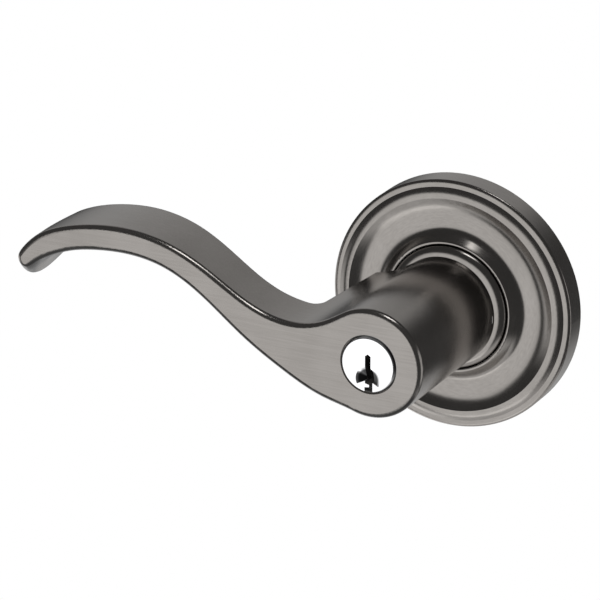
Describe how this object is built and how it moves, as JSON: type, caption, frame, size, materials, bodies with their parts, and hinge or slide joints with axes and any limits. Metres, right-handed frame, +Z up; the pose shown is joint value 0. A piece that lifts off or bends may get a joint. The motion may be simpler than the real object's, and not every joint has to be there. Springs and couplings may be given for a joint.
{
  "type": "lever handle lockset",
  "caption": "Keyed lever handle for a door: wave-shaped lever on a stepped round rose, with a pin tumbler cylinder in the hub and a sprung drive behind.",
  "frame": {"origin": "centre of the rose on the door's face, on the spindle's axis", "axes": "+Z up, +Y into the door along the spindle, -X towards the end of the lever"},
  "size_m": [0.1425, 0.0987, 0.0698],
  "materials": {
    "satin_graphite": "satin graphite plate, finely brushed",
    "graphite_collar": "satin graphite plate, turned",
    "cylinder_chrome": "bright chrome",
    "housing_black": "black oxide on brass",
    "nylon": "natural nylon",
    "pin_brass": "turned",
    "spring_steel": "oiled spring steel",
    "zinc_steel": "zinc plated"
  },
  "bodies": {
    "trim": {"rose": "satin_graphite", "mounting_plate": "zinc_steel", "through_bolt_posts": "zinc_steel", "bearing_collar": "graphite_collar", "hub_bushing": "nylon", "spring_cage": "zinc_steel", "cage_screws": "zinc_steel", "return_spring": "spring_steel"},
    "lever": {"lever": "satin_graphite", "drive_sleeve": "zinc_steel", "spindle": "zinc_steel", "spring_cam": "zinc_steel", "cam_washer": "zinc_steel", "retaining_ring": "spring_steel", "catch_spring": "spring_steel", "cylinder_housing": "housing_black", "chamber_cover": "pin_brass", "pin_springs": "spring_steel"},
    "plug": {"plug": "cylinder_chrome", "plug_clip": "spring_steel", "tailpiece": "zinc_steel"},
    "lever_catch": {"lever_catch": "zinc_steel"},
    "bottom_pin_1": {"bottom_pin_1": "pin_brass"},
    "driver_pin_1": {"driver_pin_1": "pin_brass"},
    "bottom_pin_2": {"bottom_pin_2": "pin_brass"},
    "driver_pin_2": {"driver_pin_2": "pin_brass"},
    "bottom_pin_3": {"bottom_pin_3": "pin_brass"},
    "driver_pin_3": {"driver_pin_3": "pin_brass"},
    "bottom_pin_4": {"bottom_pin_4": "pin_brass"},
    "driver_pin_4": {"driver_pin_4": "pin_brass"},
    "bottom_pin_5": {"bottom_pin_5": "pin_brass"},
    "driver_pin_5": {"driver_pin_5": "pin_brass"}
  },
  "joints": [
    {"name": "lever_turn", "type": "hinge", "parent": "trim", "child": "lever", "pos_m": [0, 0, 0], "axis": [0, -1, 0], "range_deg": [-45, 45], "stiffness_Nm_per_rad": 1.4, "deforming": ["return_spring"]},
    {"name": "plug_turn", "type": "hinge", "parent": "lever", "child": "plug", "pos_m": [0, 0, 0], "axis": [0, -1, 0], "range_deg": [-90, 90]},
    {"name": "catch_press", "type": "slide", "parent": "lever", "child": "lever_catch", "axis": [1, 0, 0], "range_m": [-0.0019, 0], "stiffness_N_per_m": 900, "springref_m": 0.001, "deforming": ["catch_spring"]},
    {"name": "bottom_pin_1_drop", "type": "slide", "parent": "plug", "child": "bottom_pin_1", "axis": [0, 0, 1], "range_m": [-0.00387, 0]},
    {"name": "driver_pin_1_lift", "type": "slide", "parent": "lever", "child": "driver_pin_1", "axis": [0, 0, 1], "range_m": [0, 0.0015], "stiffness_N_per_m": 180, "springref_m": -0.002, "deforming": ["pin_springs"]},
    {"name": "bottom_pin_2_drop", "type": "slide", "parent": "plug", "child": "bottom_pin_2", "axis": [0, 0, 1], "range_m": [-0.00207, 0]},
    {"name": "driver_pin_2_lift", "type": "slide", "parent": "lever", "child": "driver_pin_2", "axis": [0, 0, 1], "range_m": [0, 0.0015], "stiffness_N_per_m": 180, "springref_m": -0.002},
    {"name": "bottom_pin_3_drop", "type": "slide", "parent": "plug", "child": "bottom_pin_3", "axis": [0, 0, 1], "range_m": [-0.00297, 0]},
    {"name": "driver_pin_3_lift", "type": "slide", "parent": "lever", "child": "driver_pin_3", "axis": [0, 0, 1], "range_m": [0, 0.0015], "stiffness_N_per_m": 180, "springref_m": -0.002},
    {"name": "bottom_pin_4_drop", "type": "slide", "parent": "plug", "child": "bottom_pin_4", "axis": [0, 0, 1], "range_m": [-0.00127, 0]},
    {"name": "driver_pin_4_lift", "type": "slide", "parent": "lever", "child": "driver_pin_4", "axis": [0, 0, 1], "range_m": [0, 0.0015], "stiffness_N_per_m": 180, "springref_m": -0.002},
    {"name": "bottom_pin_5_drop", "type": "slide", "parent": "plug", "child": "bottom_pin_5", "axis": [0, 0, 1], "range_m": [-0.00337, 0]},
    {"name": "driver_pin_5_lift", "type": "slide", "parent": "lever", "child": "driver_pin_5", "axis": [0, 0, 1], "range_m": [0, 0.0015], "stiffness_N_per_m": 180, "springref_m": -0.002}
  ]
}
